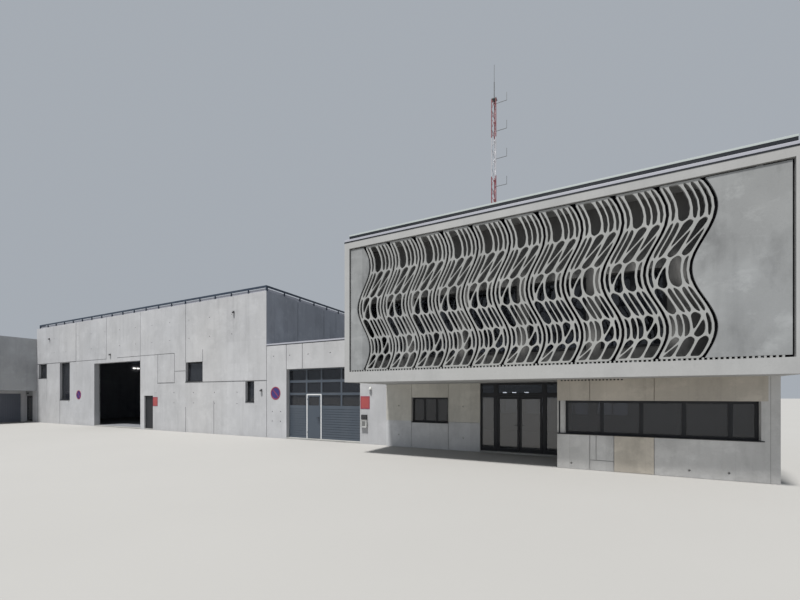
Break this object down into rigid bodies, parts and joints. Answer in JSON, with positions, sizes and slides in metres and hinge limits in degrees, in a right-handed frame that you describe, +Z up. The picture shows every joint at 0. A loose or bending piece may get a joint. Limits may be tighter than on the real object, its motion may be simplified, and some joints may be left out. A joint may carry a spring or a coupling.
{
  "type": "1:2 scale model of a fire station building",
  "caption": "Fire station at half scale: concrete vehicle hall, low link, office block with an overhanging upper floor behind a lattice screen, roof mast, and hinged doors.",
  "frame": {"origin": "on the ground, in the middle of the whole building's outline", "axes": "+X along the front to the right, +Y into the building, +Z up"},
  "size_m": [25.45, 10.25, 9.685],
  "materials": {
    "wall_concrete": "cast concrete, light grey, matt",
    "wing_concrete": "cast concrete, mid grey, matt",
    "frame_concrete": "smooth precast concrete, matt",
    "floor_concrete": "floated concrete",
    "roof_membrane": "grey roof membrane, matt",
    "screen_concrete": "fibre concrete, mid grey, matt",
    "coping_metal": "pale lacquered aluminium",
    "dark_upstand": "dark grey, satin",
    "rail_paint": "dark blue grey, satin",
    "dark_aluminium": "anthracite powder coat",
    "glass": "clear double glazing",
    "door_panel": "dark blue grey, satin",
    "white_paint": "white, satin",
    "galvanised_steel": "galvanised",
    "mast_red": "signal red",
    "mast_white": "white",
    "antenna_metal": "weathered aluminium",
    "lamp_housing": "dark grey, satin",
    "sign_red": "red enamel",
    "sign_blue": "blue enamel with a red border",
    "intercom_steel": "brushed"
  },
  "bodies": {
    "building": {"bay_front_wall": "wall_concrete", "bay_return_wall": "wall_concrete", "copings": "coping_metal", "door_frames": "dark_aluminium", "entrance_frame": "dark_aluminium", "entrance_wall": "wall_concrete", "first_floor": "frame_concrete", "ground_slabs": "floor_concrete", "hall_back_wall": "wall_concrete", "hall_bay_door": "door_panel", "hall_bay_tracks": "galvanised_steel", "hall_door_pier": "wall_concrete", "hall_front_wall_left": "wall_concrete", "hall_front_wall_right": "wall_concrete", "hall_roof": "roof_membrane", "hall_roof_rail": "rail_paint", "hall_side_walls": "wall_concrete", "hall_window_frames": "dark_aluminium", "intercom": "intercom_steel", "link_back_wall": "wall_concrete", "link_front_walls": "wall_concrete", "link_roof": "roof_membrane", "lintels": "wall_concrete", "mast_antennas": "antenna_metal", "mast_red_sections": "mast_red", "mast_white_sections": "mast_white", "office_ground_back_wall": "wall_concrete", "office_ground_side_walls": "wall_concrete", "office_roof": "frame_concrete", "office_roof_upstand": "dark_upstand", "office_upper_back_wall": "wall_concrete", "office_upper_side_walls": "frame_concrete", "office_window_frames": "dark_aluminium", "screen_back_wall": "wall_concrete", "screen_end_panels": "screen_concrete", "screen_fixings": "galvanised_steel", "screen_lattice_left": "screen_concrete", "screen_lattice_right": "screen_concrete", "sectional_door": "door_panel", "sign_discs": "sign_blue", "sign_plates": "sign_red", "wall_lamps": "lamp_housing", "wicket_frame": "white_paint", "window_glass": "glass", "wing_door_wall": "wall_concrete", "wing_garage_doors": "door_panel", "wing_garage_wall": "wall_concrete", "wing_outer_walls": "wall_concrete", "wing_slabs": "floor_concrete", "wing_upper_wall": "wing_concrete"},
    "hall_person_door": {"hall_door": "dark_aluminium"},
    "wicket": {"wicket_door": "door_panel", "wicket_glass": "glass"},
    "entrance_left_leaf": {"entrance_door_left": "dark_aluminium", "entrance_glass_left": "glass"},
    "entrance_right_leaf": {"entrance_door_right": "dark_aluminium", "entrance_glass_right": "glass"},
    "wing_glass_door": {"wing_door": "dark_aluminium", "wing_door_glass": "glass"}
  },
  "joints": [
    {"name": "hall_person_door_hinge", "type": "hinge", "parent": "building", "child": "hall_person_door", "pos_m": [-1.932, -1.835, 0.5], "axis": [0, 0, -1], "range_deg": [0, 90]},
    {"name": "wicket_hinge", "type": "hinge", "parent": "building", "child": "wicket", "pos_m": [4.521, -1.777, 0.5], "axis": [0, 0, -1], "range_deg": [0, 90]},
    {"name": "entrance_left_leaf_hinge", "type": "hinge", "parent": "building", "child": "entrance_left_leaf", "pos_m": [9.118, -1.91, 0.5], "axis": [0, 0, -1], "range_deg": [0, 90]},
    {"name": "entrance_right_leaf_hinge", "type": "hinge", "parent": "building", "child": "entrance_right_leaf", "pos_m": [9.892, -1.91, 0.5], "axis": [0, 0, 1], "range_deg": [0, 90]},
    {"name": "wing_glass_door_hinge", "type": "hinge", "parent": "building", "child": "wing_glass_door", "pos_m": [-10.202, -1.835, 0.5], "axis": [0, 0, -1], "range_deg": [0, 90]}
  ]
}
